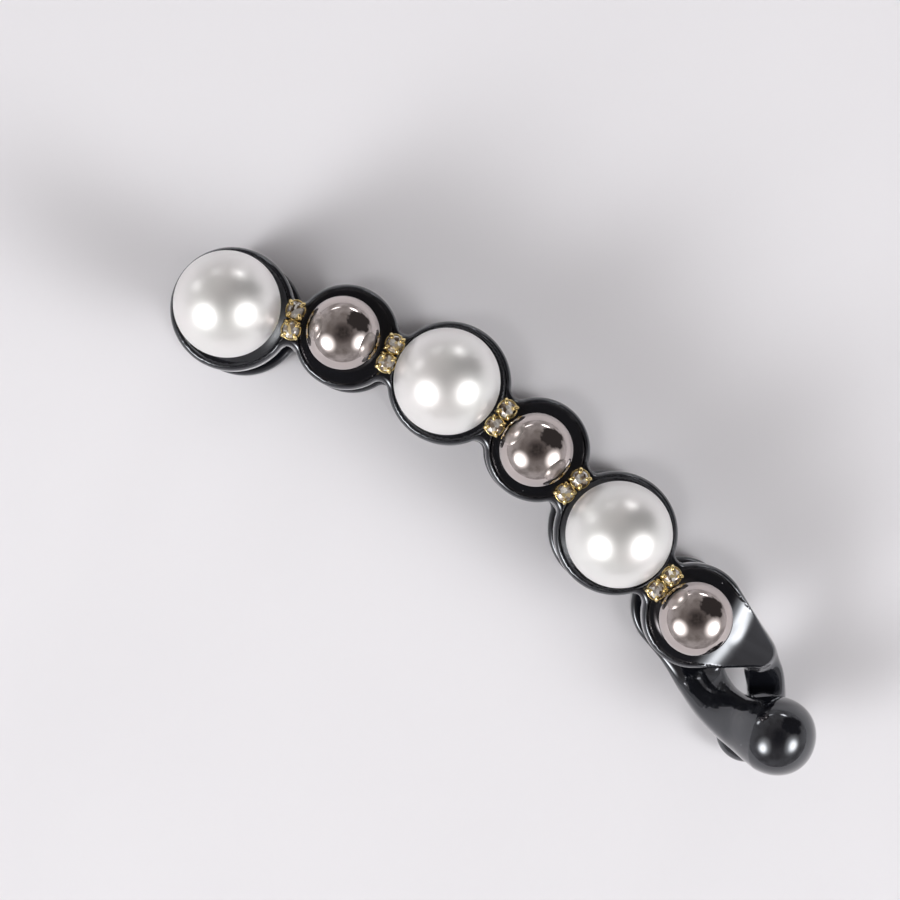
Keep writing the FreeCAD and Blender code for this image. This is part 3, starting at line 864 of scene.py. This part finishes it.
def ball(node, material, slot, unevenness):
    """A pearl or a slightly flat bead, smooth but for the slight unevenness of its coating."""
    centre = node_centre(node)
    low, high = node_box(node)
    radius, half_height = (high[0] - low[0]) / 2, (high[2] - low[2]) / 2
    profile = []
    for ring in range(BALL_RINGS + 1):
        angle = math.pi * ring / BALL_RINGS
        profile.append((radius * math.sin(angle), -half_height * math.cos(angle)))
    vertices, faces = lathe(profile, 2 * BALL_RINGS)
    x, y, z = (vertices / radius).T
    wave = np.sin(2.3 * x + 1.1 * y + centre[0]) * np.cos(1.9 * z - 2.1 * y + centre[1])
    vertices = vertices * (1 - unevenness * (1 + wave[:, None]))
    make(node, "front_arm", material, vertices + centre, faces, (node,))


for node in BALL_NODES:
    if node.startswith("pearl"):
        ball(node, PEARL, "pearl_coating", 0.0012)
    else:
        ball(node, CHROME, "gunmetal_chrome", 0.0006)

# ---------------------------------------------------------------- stones and their settings

SETTING_HEIGHT = 1.3
STONE_RADIUS = 1.3
PAVILION_TIP = 0.42
LINK_RADIUS = 0.3
LINK_HEIGHT = 0.32
CLAW_PATH = ((1.4, 0.15), (1.5, 0.6), (1.55, 1.1), (1.54, 1.5), (1.44, 1.78), (1.27, 1.92), (1.1, 1.97))
CLAW_RADII = (0.22, 0.26, 0.3, 0.35, 0.38, 0.37, 0.32)

# A brilliant's rings of corners: share of the radius, height, number of corners and turn in degrees.
BRILLIANT_RINGS = (
    (0.56, 1.93, 8, 22.5),
    (0.82, 1.76, 8, 0),
    (1.0, 1.44, 16, 11.25),
    (1.0, 1.34, 16, 11.25),
    (0.6, 0.86, 8, 0),
)


def claw(angle):
    """One claw: up the cup's wall, then bent in over the stone's edge."""
    way = np.array((math.cos(angle), math.sin(angle), 0))
    up = np.array((0, 0, 1))
    points = [way * out + up * height for out, height in CLAW_PATH]
    return tube(points, CLAW_RADII, 12)


def claw_cup():
    """One stamped cup, open at its top, with four claws at the corners."""
    outer = [(0, 0), (0.9, 0), (1.15, 0.1), (1.4, 0.45), (1.54, 0.9), (1.6, SETTING_HEIGHT)]
    inner = [(1.44, SETTING_HEIGHT + 0.12), (1.3, 1.1), (0.8, 0.55), (0.4, 0.3), (0, 0.25)]
    body = lathe(outer + inner, 32)
    claws = [claw(math.radians(45 + 90 * quarter)) for quarter in range(4)]
    return together([body] + claws)


def brilliant():
    """A round brilliant: table, star, kite and girdle facets over a pointed pavilion."""
    points = []
    for share, height, count, turn in BRILLIANT_RINGS:
        for number in range(count):
            angle = math.radians(turn + 360 * number / count)
            reach = share * STONE_RADIUS
            points.append((reach * math.cos(angle), reach * math.sin(angle), height))
    points.append((0, 0, PAVILION_TIP))
    hull = bmesh.new()
    for point in points:
        hull.verts.new(point)
    bmesh.ops.convex_hull(hull, input=hull.verts)
    bmesh.ops.dissolve_limit(hull, angle_limit=math.radians(1), verts=hull.verts, edges=hull.edges)
    hull.verts.index_update()
    vertices = np.array([vertex.co for vertex in hull.verts])
    faces = [tuple(vertex.index for vertex in face.verts) for face in hull.faces]
    hull.free()
    return vertices, faces


def turned(vertices, angle):
    """Vertices turned round Z."""
    cosine, sine = math.cos(angle), math.sin(angle)
    return vertices @ np.array(((cosine, sine, 0), (-sine, cosine, 0), (0, 0, 1)))


def stone_pair(pair):
    """Two stones in two claw cups on a short link, across the neck after cup `pair`."""
    numbers = (2 * pair - 1, 2 * pair)
    low, high = [node_centre(f"rhinestone_{number}") for number in numbers]
    across = high - low
    angle = math.atan2(across[1], across[0]) - math.pi / 2
    cups = []
    for number, centre in zip(numbers, (low, high)):
        place = np.array((centre[0], centre[1], FACE_Z))
        vertices, faces = claw_cup()
        cups.append((turned(vertices, angle) + place, faces))
        vertices, faces = brilliant()
        vertices = turned(vertices, angle + 0.35 * number) + place
        name = f"rhinestone_{number}"
        make(name, "front_arm", CRYSTAL, vertices, faces, (name,), smooth=False)
    link = tube([low * (1 - t) + high * t for t in np.linspace(0.2, 0.8, 7)], LINK_RADIUS, 12)
    link[0][:, 2] += FACE_Z + LINK_HEIGHT - low[2]
    name = f"stone_setting_{pair}"
    vertices, faces = together(cups + [link])
    make(name, "front_arm", GOLD, vertices, faces, (name,))


for pair in range(1, 6):
    stone_pair(pair)

# ---------------------------------------------------------------- table, light and camera

TABLE_HALF_SIDE = 2.5  # metres
MIDDLE_TO_MEAN = 3.3  # how much brighter a soft lamp's middle is than its mean
CAMERA_PLACE = (6.35, -7.98, 323.8)
CAMERA_TURN = math.radians(38)
LENS = 79.0
SENSOR_WIDTH = 36.0

# Each lamp: name, direction from the clip, distance, width and height in metres, and mean radiance.
LAMPS = (
    ("left_softbox", (-0.303, -0.812, 0.642), 1.6, 1.06, 1.06, 3.5),
    ("left_glow", (-0.303, -0.812, 0.72), 1.6, 1.75, 1.75, 1.0),
    ("right_softbox", (0.855, 0.134, 0.642), 1.6, 1.06, 1.06, 3.2),
    ("right_glow", (0.855, 0.134, 0.72), 1.6, 1.75, 1.75, 0.95),
    ("far_window_left", (-0.99, -0.12, 0.32), 1.0, 0.28, 0.16, 2.5),
    ("far_window_middle", (-0.83, 0.56, 0.32), 1.0, 0.50, 0.08, 1.6),
    ("far_window_right", (-0.28, 0.96, 0.32), 1.0, 0.45, 0.13, 4.0),
)


def table():
    mesh = bpy.data.meshes.new("table")
    half = TABLE_HALF_SIDE
    corners = [(-half, -half, 0), (half, -half, 0), (half, half, 0), (-half, half, 0)]
    mesh.from_pydata(corners, [], [(0, 1, 2, 3)])
    mesh.materials.append(paper())
    top = bpy.data.objects.new("table", mesh)
    bpy.context.scene.collection.objects.link(top)


def soften(light):
    """Makes a lamp brightest in its middle and fade to its edge, like a diffuser over one bulb."""
    light.use_nodes = True
    nodes, links = light.node_tree.nodes, light.node_tree.links
    place = nodes.new("ShaderNodeNewGeometry")
    middle = nodes.new("ShaderNodeVectorMath")
    middle.operation = "DISTANCE"
    middle.inputs[1].default_value = (0.5, 0.5, 0.0)
    links.new(place.outputs["Parametric"], middle.inputs[0])
    fade = nodes.new("ShaderNodeMapRange")
    fade.interpolation_type = "SMOOTHERSTEP"
    fade.inputs["From Min"].default_value = 0.5
    fade.inputs["From Max"].default_value = 0.0
    fade.inputs["To Max"].default_value = MIDDLE_TO_MEAN
    links.new(middle.outputs["Value"], fade.inputs["Value"])
    links.new(fade.outputs["Result"], nodes["Emission"].inputs["Strength"])


def lamp(name, direction, distance, width, height, radiance):
    """A soft-edged oval light of the given mean radiance, facing the clip from a direction."""
    light = bpy.data.lights.new(name, "AREA")
    light.shape = "ELLIPSE"
    light.size = width
    light.size_y = height
    area = math.pi / 4 * width * height
    light.energy = radiance * math.pi * area
    soften(light)
    item = bpy.data.objects.new(name, light)
    way = Vector(direction).normalized()
    target = (CAD_BOX[0] + CAD_BOX[1]) / 2
    item.location = target + way * distance
    item.rotation_mode = "QUATERNION"
    item.rotation_quaternion = (-way).to_track_quat("-Z", "Y")
    item.visible_camera = False
    bpy.context.scene.collection.objects.link(item)


def world():
    """A soft room: bright near the horizon, cluttered, dim overhead and dark where a doorway stands."""
    room = bpy.data.worlds.new("room")
    room.use_nodes = True
    nodes, links = room.node_tree.nodes, room.node_tree.links
    place = nodes.new("ShaderNodeTexCoord")
    split = nodes.new("ShaderNodeSeparateXYZ")
    links.new(place.outputs["Generated"], split.inputs["Vector"])
    stops = ((0.0, (0.66, 0.65, 0.67)), (0.3, (0.56, 0.54, 0.55)), (0.6, (0.42, 0.40, 0.395)))
    stops += ((0.88, (0.26, 0.24, 0.235)), (0.955, (0.09, 0.08, 0.08)), (1.0, (0.03, 0.027, 0.027)))
    ramp = colour_ramp(nodes, links, split.outputs["Z"], stops)
    clutter = noise(nodes, links, place.outputs["Generated"], 3.2, 5)
    cluttered = span(nodes, links, clutter, 0, 0.6, 0.42, 0.66)
    walls = mixed(nodes, links, cluttered, ramp.outputs["Color"], (0.17, 0.15, 0.14))
    toward = nodes.new("ShaderNodeVectorMath")
    toward.operation = "DOT_PRODUCT"
    toward.inputs[1].default_value = Vector((0.27, 0.86, 0.66)).normalized()
    links.new(place.outputs["Generated"], toward.inputs[0])
    ragged = nodes.new("ShaderNodeMath")
    ragged.operation = "MULTIPLY_ADD"
    ragged.inputs[1].default_value = 0.35
    links.new(clutter, ragged.inputs[0])
    links.new(toward.outputs["Value"], ragged.inputs[2])
    doorway = span(nodes, links, ragged.outputs[0], 0, 1, 1.015, 1.07)
    dimmed = mixed(nodes, links, doorway, walls, (0.05, 0.045, 0.045))
    links.new(dimmed, nodes["Background"].inputs["Color"])
    bpy.context.scene.world = room


def camera():
    """A camera straight above the clip, turned so that the clip lies across the frame."""
    data = bpy.data.cameras.new("camera")
    data.lens = LENS
    data.sensor_width = SENSOR_WIDTH
    data.clip_start = 0.01
    item = bpy.data.objects.new("camera", data)
    item.location = Vector(CAMERA_PLACE) / MM_PER_METRE
    item.rotation_euler = (0, 0, CAMERA_TURN)
    bpy.context.scene.collection.objects.link(item)
    bpy.context.scene.camera = item


table()
for settings in LAMPS:
    lamp(*settings)
world()
camera()
bpy.context.scene.view_settings.view_transform = "Standard"
